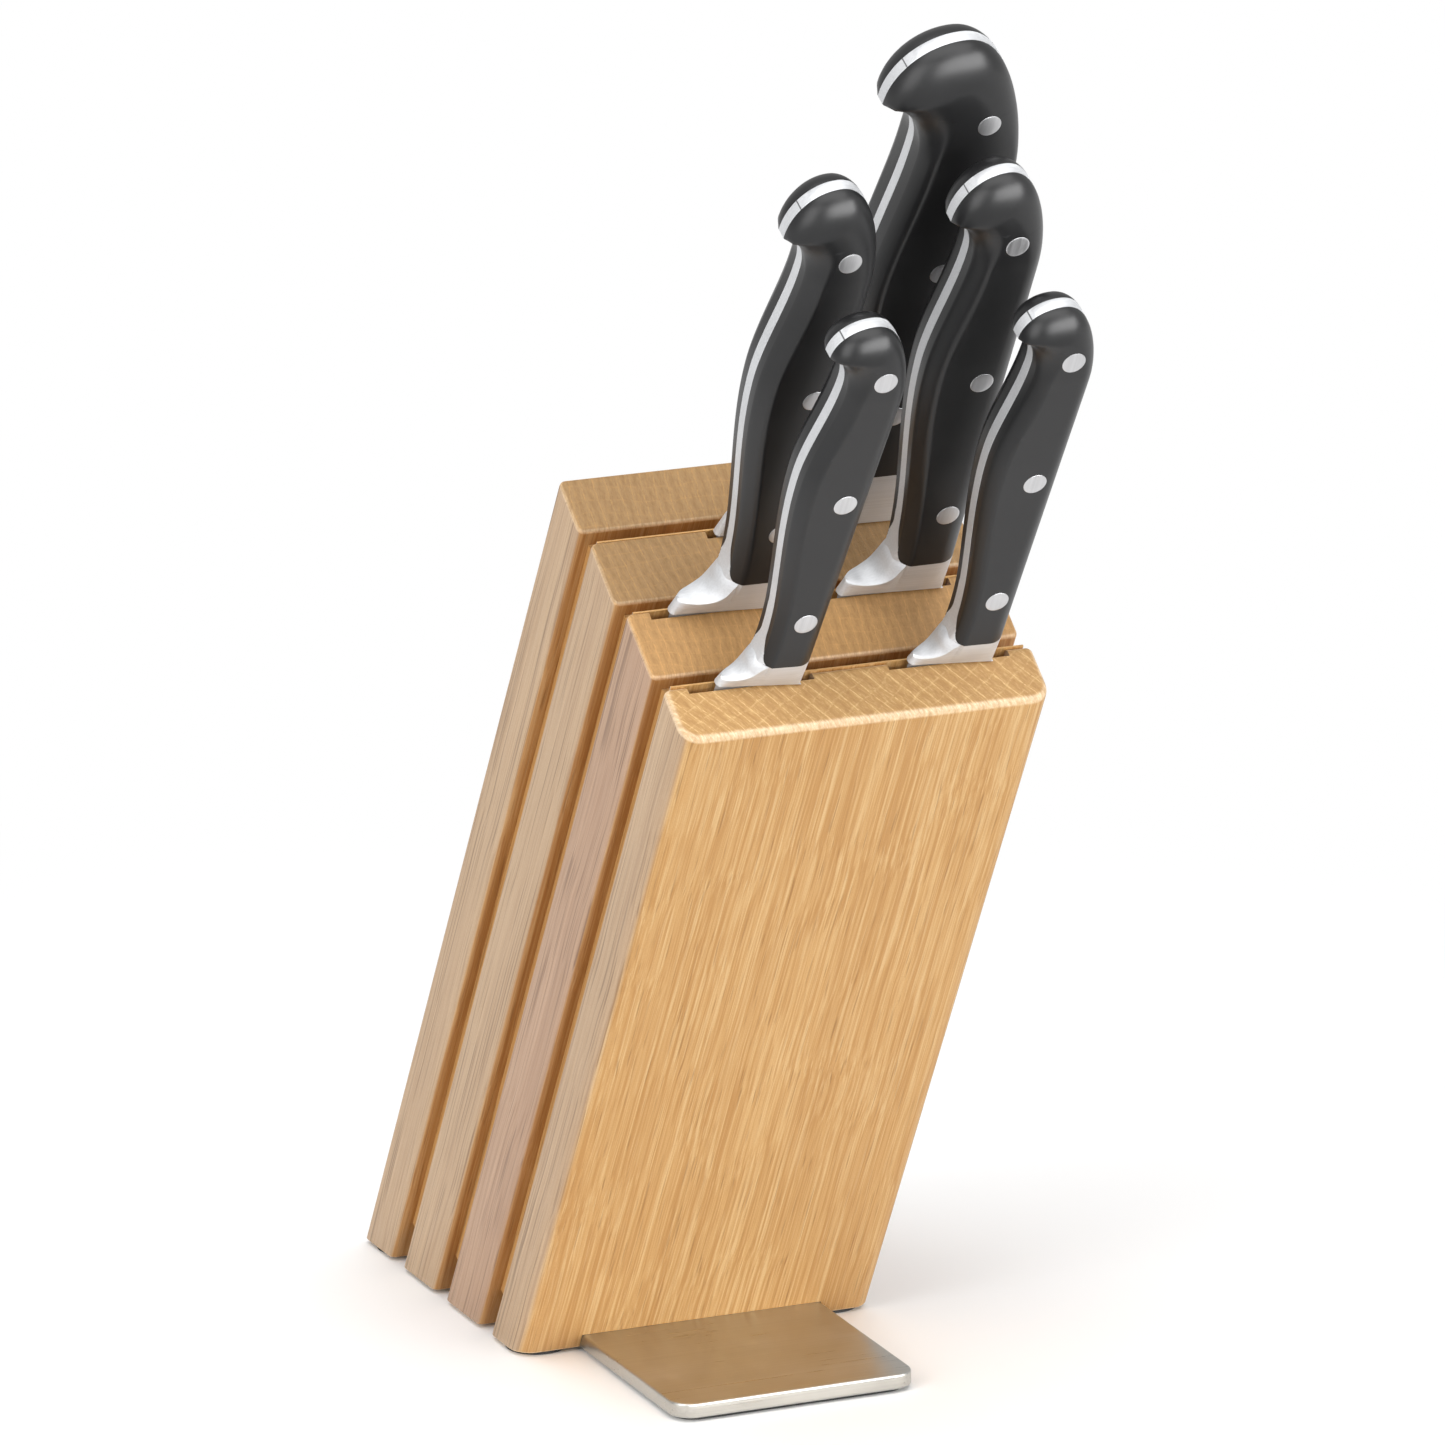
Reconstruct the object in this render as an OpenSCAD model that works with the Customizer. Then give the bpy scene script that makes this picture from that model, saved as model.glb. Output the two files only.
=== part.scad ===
// Leaning knife block: four oak boards held apart by spacers on a steel foot plate,
// with five riveted full-tang knives that draw out along the boards.
// +Z is up and the front faces -Y. The origin lies on the ground below the middle
// of the front board's lower front edge. All sizes are in millimetres.

/* [Block] */
// angle the boards lean towards the front
lean = 29.2; // [10:0.1:40]
// width of every board
board_w = 82.5; // [60:0.5:160]
// height of the boards' rear top edges, measured along the boards
board_len = 184.2; // [150:0.1:260]
// thickness of the front board with its lining
front_t = 14.1; // [10:0.1:25]
// thickness of the second board with its lining
second_t = 17.1; // [10:0.1:25]
// thickness of the third board with its lining
third_t = 16.3; // [10:0.1:25]
// thickness of the rear board
rear_t = 13.7; // [10:0.1:25]
// open shadow gap between two boards
gap = 4.9; // [3:0.1:10]
// fall of each board's top end per millimetre of depth
top_fall = 0.16; // [0:0.01:0.4]
// rounding of the front board's two long front edges
front_round = 4.4; // [1:0.1:8]
// rounding of the other long edges
edge_round = 1.6; // [0.5:0.1:4]
// width of a spacer strip
spacer_w = 5; // [3:0.5:10]
// distance of a spacer strip from the side and the top
spacer_in = 3; // [1:0.5:10]
// radius of the joint dowels
dowel_r = 3; // [2:0.1:5]

/* [Knife pockets] */
// depth of a pocket behind its lining
pocket_t = 2.3; // [1.5:0.1:4]
// thickness of the lining that closes the pockets
lining_t = 0.4; // [0.3:0.1:1]

/* [Foot] */
// thickness of the pads under the wood and the plate
pad_t = 0.8; // [0.5:0.1:3]
// width of the foot plate
plate_w = 55.4; // [40:0.2:80]
// sideways offset of the plate's middle
plate_x = 0.6; // [-5:0.1:5]
// reach of the plate in front of the boards
plate_reach = 52.3; // [30:0.1:90]
// length of the plate under the boards
plate_in = 44; // [20:0.5:80]
// thickness of the foot plate
plate_t = 3.3; // [2:0.1:6]
// radius of the plate's front corners
plate_corner = 5; // [1:0.5:12]
// diameter of a round foot pad
foot_d = 13; // [8:0.5:20]

/* [Knives] */
// thickness of a blade at its spine
blade_t = 1.8; // [1.2:0.1:2.2]
// thickness of a tang between its scales
tang_t = 2.7; // [2:0.1:4]
// height of a resting bolster above the board's top edge
rest_gap = 0.3; // [0.1:0.1:2]
// radius of a handle rivet
rivet_r = 2.5; // [2:0.1:4]

/* [Hidden] */
fit = 0.02;
mid_front = front_t - lining_t - pocket_t / 2;
y_second = front_t + gap;
mid_second = y_second + second_t - lining_t - pocket_t / 2;
y_third = y_second + second_t + gap;
mid_third = y_third + third_t - lining_t - pocket_t / 2;
y_rear = y_third + third_t + gap;
stack_t = y_rear + rear_t;
screw_x = [-16, 16];
screw_y = [8.5, 31];

// A handle: bolster width, width above the bolster, belly width and height, neck width
// and height, hook width and height, crown height and centre, shoulder height,
// bolster height, half thickness at the bolster and at the pommel, blade length.
small = [18.5, 10.6, 16, 58, 12.9, 82.5, 17.7, 90, 97.6, 9.1, 80, 7.5, 4.7, 7, 90];
medium = [23.1, 13.2, 19, 65, 15.4, 95, 20.9, 103, 114.8, 10.7, 92, 10.2, 5.2, 7.6, 155];
large = [42.4, 17.1, 25.5, 70, 22.2, 106.5, 31.2, 117, 132.2, 16.1, 98, 17, 6.2, 8.6, 200];

// Where a knife stands: spine position, pocket's middle, sideways cant, rivet line, drop.
small_rivets = [[-5.4, 19.8], [-6.2, 53.5], [-6.9, 87.3]];
medium_rivets = [[-5.6, 24.2], [-7, 62.1], [-8.1, 100.1]];
large_rivets = [[-11.8, 34.3], [-11.1, 74.6], [-10.1, 115]];
paring_at = [-11.9, mid_front, 2.8, small_rivets, 0.5];
trimming_at = [31.1, mid_front, 1.6, small_rivets, 0.4];
carving_at = [-9.2, mid_second, 0.3, medium_rivets, 0];
slicing_at = [28.5, mid_second, -0.3, medium_rivets, 0];
chef_at = [28.5, mid_third, 0, large_rivets, 0.3];

// Pockets of a board: left end, right end and depth.
front_pockets = [[-36.2, -8.4, 98], [8.3, 35.4, 98]];
second_pockets = [[-36.2, -6.2, 163], [0.9, 31, 163]];
third_pockets = [[-15.6, 33.4, 205]];

function smooth(t) = t * t * (3 - 2 * t);
function width_at(k, z) = z < k[3]
    ? k[1] + (k[2] - k[1]) * smooth((z - k[11]) / (k[3] - k[11]))
    : k[2] + (k[4] - k[2]) * smooth((z - k[3]) / (k[5] - k[3]));
// The belly side from the bolster to the neck, then the hook, the crown and the spine side.
function belly(k) = [for (i = [0 : 14]) let (z = k[11] + (k[5] - k[11]) * i / 14) [-width_at(k, z), z]];
function hook(k) = [for (a = [18 : 18 : 90]) [-k[6] + (k[6] - k[4]) * cos(a), k[5] + (k[7] - k[5]) * sin(a)]];
function crown(k) = [for (a = [10 : 10 : 90]) [-k[9] - (k[6] - k[9]) * cos(a), k[7] + (k[8] - k[7]) * sin(a)]];
function shoulder(k) = [for (a = [80 : -10 : 0]) [-k[9] + k[9] * cos(a), k[10] + (k[8] - k[10]) * sin(a)]];
function handle(k) = concat(belly(k), hook(k), crown(k), shoulder(k), [[0, k[11]]]);
// The finger guard and bolster up to where the handle begins. The guard sweeps from the
// belly side to a low nose: how far along, and how high as a part of the bolster height.
sweep = [[0, 0.95], [0.03, 0.78], [0.12, 0.62], [0.25, 0.5], [0.45, 0.4], [0.7, 0.34], [0.87, 0.33],
    [0.94, 0.3], [0.97, 0.22]];
function guard(k) = concat(
    [[0, 0], [0, k[11]], [-k[1], k[11]], [-k[1] + 0.02, 21]],
    [for (i = [1 : 5]) [-k[1] - 0.02, 21 - i * (21 - k[11]) / 5.5]],
    [for (p = sweep) [-k[1] - 0.04 - (k[0] - k[1]) * p[0], k[11] * p[1]]],
    [[-k[0], 0]]);
// The blade hangs below the bolster, with a straight spine and a bellied edge.
function blade(k) = concat(
    [[-0.6, 1], [-0.6, -0.86 * k[14]]],
    [for (a = [15 : 15 : 90]) [-0.6 - 0.36 * k[0] * (1 - cos(a)), -(0.86 + 0.14 * sin(a)) * k[14]]],
    [for (i = [1 : 8]) [-k[0] * (0.38 + 0.6 * sqrt(1 - pow(1 - i / 8, 2))), -k[14] * (1 - 0.55 * i / 8)]],
    [[-k[0] + 0.4, 1]]);

$fn = 72;

// Turns the upright stack so that it leans forward over the foot plate.
module leaning() {
    translate([0, 0, pad_t])
        rotate([lean, 0, 0])
            children();
}

// Stands an outline drawn in X and Z upright, from depth y0 to depth y1.
module upright(y0, y1) {
    translate([0, y1, 0])
        rotate([90, 0, 0])
            linear_extrude(y1 - y0)
                children();
}

// Runs an outline drawn in depth and height across, from x0 to x1.
module across(x0, x1) {
    translate([x0, 0, 0])
        rotate([90, 0, 90])
            linear_extrude(x1 - x0)
                children();
}

// The cross-section of a board, with rounded long edges.
module board_section(t, rf, rb) {
    w = board_w / 2;
    difference() {
        translate([-w, 0])
            square([board_w, t]);
        for (s = [-1, 1]) {
            translate([s * (w - rf / 2), rf / 2])
                square([rf + fit, rf + fit], center = true);
            translate([s * (w - rb / 2), t - rb / 2])
                square([rb + fit, rb + fit], center = true);
        }
    }
    for (s = [-1, 1]) {
        translate([s * (w - rf), rf])
            circle(rf);
        translate([s * (w - rb), t - rb])
            circle(rb);
    }
}

// A board that starts at depth y, cut level at the ground and eased along its top end.
module board_body(y, t, rf, rb) {
    zr = board_len;
    zf = board_len - top_fall * t;
    intersection() {
        translate([0, y, -60])
            linear_extrude(300)
                board_section(t, rf, rb);
        across(-60, 60)
            polygon(concat(
                [[y, -y * tan(lean)]],
                [for (a = [180 : -15 : 90]) [y + 1.8 + 1.8 * cos(a), zf - 1.6 + 1.8 * sin(a)]],
                [for (a = [90 : -30 : 0]) [y + t - 0.6 + 0.6 * cos(a), zr - 0.6 + 0.6 * sin(a)]],
                [[y + t, -(y + t) * tan(lean)]]));
    }
}

// The pockets behind the lining, open at the top end.
module pockets(list, middle) {
    for (p = list)
        translate([p[0], middle - pocket_t / 2, board_len - p[2]])
            cube([p[1] - p[0], pocket_t + fit, p[2] + 5]);
}

// The dowels of one joint whose gap starts at depth y.
module dowel_row(y, points, r, reach) {
    for (p = points)
        translate([p[0], y - reach, p[1]])
            rotate([-90, 0, 0])
                cylinder(h = gap + 2 * reach, r = r);
}

module front_dowels(r, reach) {
    dowel_row(front_t, [[-25, 20], [25, 20], [-25, 68], [25, 68]], r, reach);
}

module middle_dowels(r, reach) {
    dowel_row(y_third - gap, [[-25, 6], [25, 6]], r, reach);
}

module rear_dowels(r, reach) {
    dowel_row(y_rear - gap, [[-28, 10], [-28, 85], [-28, 160]], r, reach);
}

// The room the foot plate and its screws need under the boards.
module plate_room() {
    translate([plate_x - plate_w / 2 - 0.1, -2, pad_t - 2])
        cube([plate_w + 0.2, plate_in + 2.2, plate_t + 2.05]);
    for (x = screw_x, y = screw_y)
        translate([plate_x + x, y, pad_t])
            cylinder(h = plate_t + 12.1, r = 1.6);
}

module front_board() {
    color([0.83, 0.62, 0.36])
    difference() {
        leaning()
            difference() {
                board_body(0, front_t - lining_t, front_round, edge_round);
                pockets(front_pockets, mid_front);
                front_dowels(dowel_r + fit, 7 + fit);
            }
        plate_room();
    }
}

module second_board() {
    color([0.84, 0.64, 0.4])
    difference() {
        leaning()
            difference() {
                board_body(y_second, second_t - lining_t, edge_round, edge_round);
                pockets(second_pockets, mid_second);
                front_dowels(dowel_r + fit, 7 + fit);
                middle_dowels(dowel_r + fit, 7 + fit);
            }
        plate_room();
    }
}

module third_board() {
    color([0.82, 0.61, 0.36])
    difference() {
        leaning()
            difference() {
                board_body(y_third, third_t - lining_t, edge_round, edge_round);
                pockets(third_pockets, mid_third);
                middle_dowels(dowel_r + fit, 7 + fit);
                rear_dowels(dowel_r + fit, 7 + fit);
            }
        plate_room();
    }
}

module rear_board() {
    color([0.84, 0.64, 0.4])
    leaning()
        difference() {
            board_body(y_rear, rear_t, edge_round, edge_round);
            rear_dowels(dowel_r + fit, 7 + fit);
        }
}

// A thin sheet glued over the pockets of the board that ends at depth y.
module lining(y, dowels_low) {
    w = board_w - 2 * edge_round - 0.4;
    translate([-w / 2, y - lining_t, dowels_low])
        cube([w, lining_t, board_len - 0.4 - dowels_low]);
}

module front_lining() {
    color([0.88, 0.7, 0.46])
    leaning()
        lining(front_t, 78);
}

module second_lining() {
    color([0.88, 0.7, 0.46])
    leaning()
        lining(y_third - gap, 16);
}

module third_lining() {
    color([0.88, 0.7, 0.46])
    leaning()
        difference() {
            lining(y_rear - gap, -24);
            rear_dowels(dowel_r + fit, 7 + fit);
        }
}

// Spacer strips set back from the sides and the top of the gap that starts at depth y.
module spacers(y, middle_x) {
    z0 = -y * tan(lean) + 8;
    z1 = board_len - 2 * spacer_in;
    for (x = [-board_w / 2 + spacer_in, middle_x, board_w / 2 - spacer_in - spacer_w])
        translate([x, y, z0])
            cube([spacer_w, gap, z1 - z0]);
}

module front_spacers() {
    color([0.7, 0.45, 0.22])
    leaning()
        spacers(front_t, -2.5);
}

module middle_spacers() {
    color([0.7, 0.45, 0.22])
    leaning()
        spacers(y_third - gap, -5);
}

module rear_spacers() {
    color([0.7, 0.45, 0.22])
    leaning()
        spacers(y_rear - gap, -22);
}

module joint_dowels() {
    color([0.87, 0.72, 0.5])
    leaning() {
        front_dowels(dowel_r, 7);
        middle_dowels(dowel_r, 7);
        rear_dowels(dowel_r, 7);
    }
}

// The plate's outline: square at the back, rounded at the two front corners.
module plate_outline(grow) {
    w = plate_w / 2 + grow;
    y0 = -plate_reach - grow;
    r = plate_corner;
    translate([-w, y0 + r])
        square([2 * w, plate_reach + plate_in + grow - r]);
    translate([-w + r, y0])
        square([2 * w - 2 * r, r + 1]);
    for (s = [-1, 1])
        translate([s * (w - r), y0 + r])
            circle(r);
}

module foot_plate() {
    color([0.72, 0.72, 0.73])
    translate([plate_x, 0, pad_t])
        difference() {
            linear_extrude(plate_t)
                plate_outline(0);
            for (x = screw_x, y = screw_y)
                translate([x, y, -fit]) {
                    cylinder(h = plate_t + 1, r = 1.8);
                    cylinder(h = 1.8, r1 = 3.6, r2 = 1.8);
                }
        }
}

module plate_screws() {
    color([0.6, 0.6, 0.62])
    for (x = screw_x, y = screw_y)
        translate([plate_x + x, y, pad_t])
            difference() {
                union() {
                    cylinder(h = plate_t + 12, r = 1.55);
                    cylinder(h = 1.8, r1 = 3.5, r2 = 1.7);
                }
                translate([0, 0, -fit])
                    for (a = [0, 90])
                        rotate([0, 0, a])
                            translate([-1.8, -0.35, 0])
                                cube([3.6, 0.7, 1]);
            }
}

module plate_pad() {
    color([0.1, 0.1, 0.1])
    translate([plate_x, 0, 0])
        linear_extrude(pad_t)
            difference() {
                plate_outline(-1.5);
                for (x = screw_x, y = screw_y)
                    translate([x, y])
                        circle(4);
            }
}

// Round pads under the corners of the front and the rear board.
module foot_pads() {
    color([0.08, 0.08, 0.08]) {
        for (s = [-1, 1])
            translate([s * 34, foot_d / 2 + 0.8, 0])
                cylinder(h = pad_t, r = foot_d / 2);
        for (s = [-1, 1])
            translate([s * 34, stack_t / cos(lean) - foot_d / 2 - 0.6, 0])
                cylinder(h = pad_t, r = foot_d / 2);
    }
}

// Puts a knife in its pocket: X from its spine, Z up from the underside of its bolster.
module seated(at) {
    leaning()
        translate([at[0], at[1], board_len + rest_gap - at[4]])
            rotate([0, at[2], 0])
                children();
}

module rivet_holes(at, r) {
    for (p = at[3])
        translate([p[0], 15, p[1]])
            rotate([90, 0, 0])
                cylinder(h = 30, r = r);
}

// The side taper of a handle: thin at the bolster, thick at the pommel.
module taper(k, grow) {
    t0 = k[12] + grow;
    t1 = k[13] + grow;
    across(-60, 10)
        polygon([[-t0, k[11]], [-t1, k[5]], [-t1, k[8] - 3], [-t1 + 3, k[8] + 0.1],
            [t1 - 3, k[8] + 0.1], [t1, k[8] - 3], [t1, k[5]], [t0, k[11]]]);
}

// Half of a handle outline, left open on its other side, for sweeping at an angle.
function belly_half(k) = concat([[-k[1], 0]], belly(k), hook(k), crown(k), [[60, k[8]], [60, 0]]);
function spine_half(k) = concat([[-60, 0], [-60, k[8]], [-k[9], k[8]]], shoulder(k), [[0, 0]]);

// Sweeps an outline at an angle, so that it draws in beyond the depth called start.
module slanted(points, side, hand, angle, start) {
    rotate([0, 0, -side * hand * angle])
        upright(-60, 60)
            polygon([for (p = points) [(p[0] - hand * start * tan(angle)) * cos(angle), p[1]]]);
}

// One scale: side is -1 for the front of the knife and 1 for the rear.
module scale_half(k, at, side) {
    difference() {
        intersection() {
            upright(side < 0 ? -20 : tang_t / 2, side < 0 ? -tang_t / 2 : 20)
                polygon(handle(k));
            taper(k, 0);
            slanted(belly_half(k), side, 1, 30, 0.38 * k[12]);
            slanted(belly_half(k), side, 1, 58, k[13] - 2.8);
            slanted(spine_half(k), side, -1, 30, 0.38 * k[12]);
            slanted(spine_half(k), side, -1, 58, k[13] - 1.9);
        }
        rivet_holes(at, rivet_r + fit);
    }
}

// Blade, bolster, finger guard and tang, forged in one piece.
module forged(k, at) {
    difference() {
        union() {
            intersection() {
                upright(-3, 3)
                    polygon(blade(k));
                translate([0, 0, -k[14] - 5])
                    linear_extrude(k[14] + 7)
                        polygon([[0, -blade_t / 2], [0, blade_t / 2],
                            [-k[0] * 0.55, blade_t * 0.42], [-k[0] - 1, 0.12],
                            [-k[0] - 1, -0.12], [-k[0] * 0.55, -blade_t * 0.42]]);
            }
            intersection() {
                upright(-15, 15)
                    polygon(guard(k));
                across(-60, 10)
                    polygon([[-2.4, 0], [-k[12], k[11]], [-k[12], k[11] + 0.01], [-tang_t / 2, 20],
                        [tang_t / 2, 20], [k[12], k[11] + 0.01], [k[12], k[11]], [2.4, 0]]);
                translate([0, 0, -1])
                    linear_extrude(30)
                        polygon([[0, -k[12]], [0, k[12]], [-k[1], k[12]], [-k[0], 1.4],
                            [-k[0], -1.4], [-k[1], -k[12]]]);
            }
            upright(-tang_t / 2, tang_t / 2)
                polygon(handle(k));
        }
        rivet_holes(at, rivet_r + fit);
    }
}

// Three rivets, ground flush with both scales.
module rivet_set(k, at) {
    intersection() {
        rivet_holes(at, rivet_r);
        taper(k, 0);
    }
}

module steel() {
    color([0.78, 0.78, 0.79])
        children();
}

module black() {
    color([0.07, 0.07, 0.075])
        children();
}

module paring_blade() { steel() seated(paring_at) forged(small, paring_at); }
module paring_front_scale() { black() seated(paring_at) scale_half(small, paring_at, -1); }
module paring_rear_scale() { black() seated(paring_at) scale_half(small, paring_at, 1); }
module paring_rivets() { steel() seated(paring_at) rivet_set(small, paring_at); }

module trimming_blade() { steel() seated(trimming_at) forged(small, trimming_at); }
module trimming_front_scale() { black() seated(trimming_at) scale_half(small, trimming_at, -1); }
module trimming_rear_scale() { black() seated(trimming_at) scale_half(small, trimming_at, 1); }
module trimming_rivets() { steel() seated(trimming_at) rivet_set(small, trimming_at); }

module carving_blade() { steel() seated(carving_at) forged(medium, carving_at); }
module carving_front_scale() { black() seated(carving_at) scale_half(medium, carving_at, -1); }
module carving_rear_scale() { black() seated(carving_at) scale_half(medium, carving_at, 1); }
module carving_rivets() { steel() seated(carving_at) rivet_set(medium, carving_at); }

module slicing_blade() { steel() seated(slicing_at) forged(medium, slicing_at); }
module slicing_front_scale() { black() seated(slicing_at) scale_half(medium, slicing_at, -1); }
module slicing_rear_scale() { black() seated(slicing_at) scale_half(medium, slicing_at, 1); }
module slicing_rivets() { steel() seated(slicing_at) rivet_set(medium, slicing_at); }

module chef_blade() { steel() seated(chef_at) forged(large, chef_at); }
module chef_front_scale() { black() seated(chef_at) scale_half(large, chef_at, -1); }
module chef_rear_scale() { black() seated(chef_at) scale_half(large, chef_at, 1); }
module chef_rivets() { steel() seated(chef_at) rivet_set(large, chef_at); }

front_board();
second_board();
third_board();
rear_board();
front_lining();
second_lining();
third_lining();
front_spacers();
middle_spacers();
rear_spacers();
joint_dowels();
foot_plate();
plate_screws();
plate_pad();
foot_pads();
paring_blade();
paring_front_scale();
paring_rear_scale();
paring_rivets();
trimming_blade();
trimming_front_scale();
trimming_rear_scale();
trimming_rivets();
carving_blade();
carving_front_scale();
carving_rear_scale();
carving_rivets();
slicing_blade();
slicing_front_scale();
slicing_rear_scale();
slicing_rivets();
chef_blade();
chef_front_scale();
chef_rear_scale();
chef_rivets();
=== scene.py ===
import math

import bmesh
import bpy
import numpy as np
from mathutils import Matrix, Vector


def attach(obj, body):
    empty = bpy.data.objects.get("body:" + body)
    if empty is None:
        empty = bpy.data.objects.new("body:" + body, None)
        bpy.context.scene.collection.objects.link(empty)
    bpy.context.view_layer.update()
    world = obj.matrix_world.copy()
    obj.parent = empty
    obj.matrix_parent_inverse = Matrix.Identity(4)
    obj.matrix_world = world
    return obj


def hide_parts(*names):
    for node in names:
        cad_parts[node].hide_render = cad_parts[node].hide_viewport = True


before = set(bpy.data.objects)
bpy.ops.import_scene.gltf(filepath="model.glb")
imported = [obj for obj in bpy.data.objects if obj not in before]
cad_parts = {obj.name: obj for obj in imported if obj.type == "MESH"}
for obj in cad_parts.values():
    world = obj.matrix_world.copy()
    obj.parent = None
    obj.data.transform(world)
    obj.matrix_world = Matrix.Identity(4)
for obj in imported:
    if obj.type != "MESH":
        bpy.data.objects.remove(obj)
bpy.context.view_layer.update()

MM = 0.001
LEAN = math.radians(29.2)
PAD_T = 0.8
BOARD_W = 82.5
BOARD_LEN = 184.2
TOP_FALL = 0.16
POCKET_T = 2.3
LINING_T = 0.4
REST_GAP = 0.3
TANG = 1.35  # half thickness of a full tang
RIVET_R = 2.5
FLARE_Z = 24  # height up to which a small handle's foot flares
WING_Z = 21  # height above which no guard stands beside the scales
WALL_Z = 20  # height below which a guard may cover the inner part of a scale's wall
PLATE = dict(x=0.6, half_w=27.7, front=-52.3, back=44.0, t=3.3, corner=5.0, rear_corner=0.4, bevel=0.55)
PLATE_ROOM = (-27.2, -4, -3), (28.4, 44.2, 4.15)

# depth where each board starts, its thickness, its front and rear edge rounding, its pockets
# (each pocket's left end, right end and depth)
BOARDS = {
    "front_board": (0.0, 14.1, 4.4, 1.6, [(-36.2, -8.4, 98), (8.3, 35.4, 98)]),
    "second_board": (19.0, 17.1, 1.6, 1.6, [(-36.2, -6.2, 163), (0.9, 31, 163)]),
    "third_board": (41.0, 16.3, 1.6, 1.6, [(-15.6, 33.4, 205)]),
    "rear_board": (62.2, 13.7, 1.6, 1.6, []),
}


def middle_of(board):
    """Depth of the middle of a board's pockets."""
    y, t = BOARDS[board][:2]
    return y + t - LINING_T - POCKET_T / 2


# Handle profiles in a knife's own mm. bolster and low: widths at the bolster's underside and above it;
# belly, neck, tip, crown: widths up the handle, each with its height; joint: height of the bolster;
# m0, m1: half thickness at the joint and at the neck; edge and back: how wide and from which part of the
# thickness the belly and spine edges are worked; dome: rounding at the butt; wing: how high the guard
# climbs beside a scale and how fast it fades; crease: height, reach past low and half width of the guard's
# front edge, down to its nose.
HANDLE = {
    "small": dict(bolster=18.5, low=10.6, belly=16, belly_z=58, neck=12.9, neck_z=82.5, tip=17.7, tip_z=90,
                  top=97.6, crown=9.1, spine_z=80, joint=7.5, m0=4.7, m1=7.0, blade=90, flare=0.8,
                  edge=(1.9, 0.38), back=(3.6, 0.12), dome=6.6, wing=(6.4, 1.5),
                  crease=[(5.9, 0.75, 3.8), (4.3, 1.85, 3.4), (2.85, 3.5, 2.65), (2.0, 5.5, 1.8),
                          (1.7, 6.8, 1.0), (1.85, 7.25, 0.4)]),
    "medium": dict(bolster=23.1, low=13.2, belly=19, belly_z=65, neck=15.4, neck_z=95, tip=20.9, tip_z=103,
                   top=114.8, crown=10.7, spine_z=92, joint=10.2, m0=5.2, m1=7.6, blade=155, flare=0.0,
                   edge=(2.4, 0.35), back=(4.0, 0.12), dome=7.6, wing=(8.0, 1.5),
                   crease=[(8.8, -0.85, 4.75), (6.65, 0.4, 4.6), (4.95, 2.2, 3.95), (3.95, 4.7, 3.1),
                           (3.55, 7.0, 2.15), (3.25, 8.2, 1.2), (3.35, 8.75, 0.45)]),
    "large": dict(bolster=42.4, low=17.1, belly=25.5, belly_z=70, neck=22.2, neck_z=106.5, tip=31.2,
                  tip_z=117, top=132.2, crown=16.1, spine_z=98, joint=17, m0=6.2, m1=8.6, blade=200,
                  flare=0.0, edge=(2.4, 0.45), back=(2.2, 0.45), dome=9.5, wing=(6.3, 2.2),
                  crease=[(14.2, -0.6, 5.6), (10.6, 2.0, 5.3), (7.9, 6.0, 4.7), (6.2, 12, 3.7),
                          (5.4, 18.5, 2.6), (4.9, 22.3, 1.4), (4.9, 23.6, 0.5)]),
}
SMALL_RIVETS = [(-5.4, 19.8), (-6.2, 53.5), (-6.9, 87.3)]
MEDIUM_RIVETS = [(-5.6, 24.2), (-7.0, 62.1), (-8.1, 100.1)]
LARGE_RIVETS = [(-11.8, 34.3), (-11.1, 74.6), (-10.1, 115.0)]
# handle, spine position, board, sideways cant, rivets, drop
KNIVES = {
    "paring": ("small", -11.9, "front_board", 2.8, SMALL_RIVETS, 0.5),
    "trimming": ("small", 31.1, "front_board", 1.6, SMALL_RIVETS, 0.4),
    "carving": ("medium", -9.2, "second_board", 0.3, MEDIUM_RIVETS, 0),
    "slicing": ("medium", 28.5, "second_board", -0.3, MEDIUM_RIVETS, 0),
    "chef": ("large", 28.5, "third_board", 0.0, LARGE_RIVETS, 0.3),
}


def leaning(p):
    """A point given across, in depth and along the boards, in mm, as a point of the frame in metres."""
    x, y, z = p
    c, s = math.cos(LEAN), math.sin(LEAN)
    return (x * MM, (y * c - z * s) * MM, (PAD_T + y * s + z * c) * MM)


def seated(knife):
    """The map from a knife's own mm, X from its spine and Z up from its bolster, to the frame."""
    kind, x0, board, cant, _, drop = KNIVES[knife]
    ca, sa = math.cos(math.radians(cant)), math.sin(math.radians(cant))
    depth = middle_of(board)

    def put(p):
        x, y, z = p
        return leaning((x0 + x * ca + z * sa, depth + y, BOARD_LEN + REST_GAP - drop - x * sa + z * ca))

    return put


# ---------------------------------------------------------------- materials

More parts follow.
